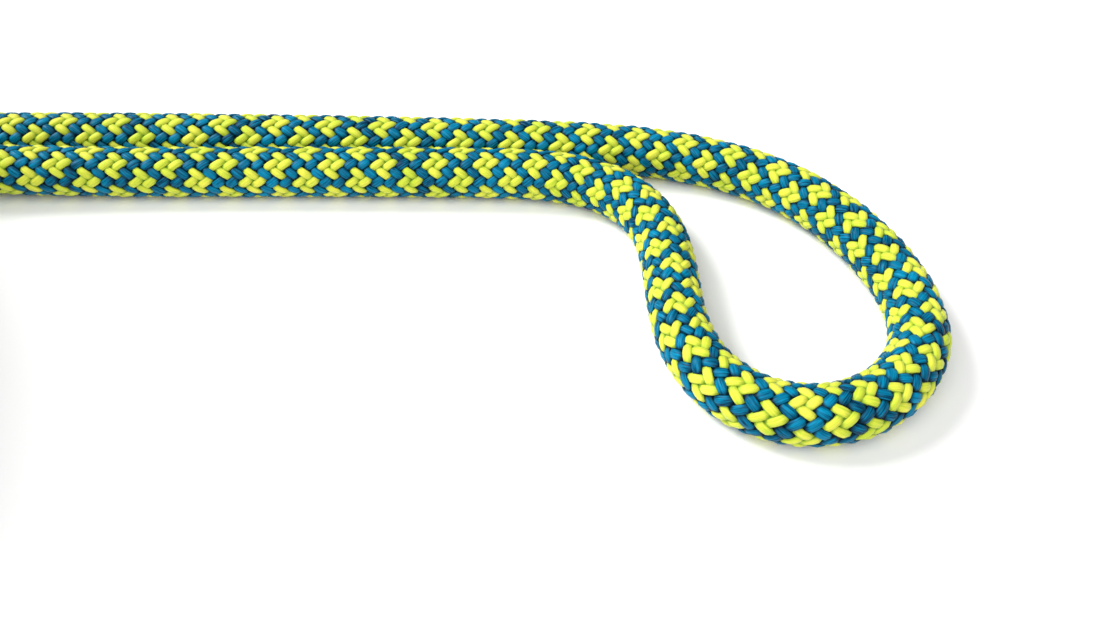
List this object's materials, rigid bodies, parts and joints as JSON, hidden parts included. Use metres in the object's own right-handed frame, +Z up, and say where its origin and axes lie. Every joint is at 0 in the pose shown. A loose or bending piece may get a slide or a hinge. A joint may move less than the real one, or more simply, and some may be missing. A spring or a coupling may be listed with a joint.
{
  "type": "arborist climbing rope",
  "caption": "Braided arborist climbing rope laid out with an open bight, its spare length wound into a tied hank, with shrink sleeves on both ends.",
  "frame": {"origin": "bottom centre of the whole rope as it lies on a flat surface", "axes": "+X from the hank towards the bight, along the runs of the rope; +Z up, square to the surface that the rope lies on"},
  "size_m": [0.6188, 0.1576, 0.1067],
  "materials": {
    "rope_cover": "satin braided polyester, yellow-green and petrol blue in small pinwheels",
    "rope_core": "undyed braided polyamide",
    "shrink_sleeve": "satin black shrink tube",
    "tie_webbing": "black hook-and-loop webbing"
  },
  "bodies": {
    "root": {"rope_cover": "rope_cover", "rope_core": "rope_core", "tail_cover": "rope_cover", "tail_core": "rope_core", "hank": "rope_cover", "tie_front": "tie_webbing", "tie_rear": "tie_webbing", "end_sleeve_near": "shrink_sleeve", "end_sleeve_far": "shrink_sleeve"}
  },
  "joints": []
}
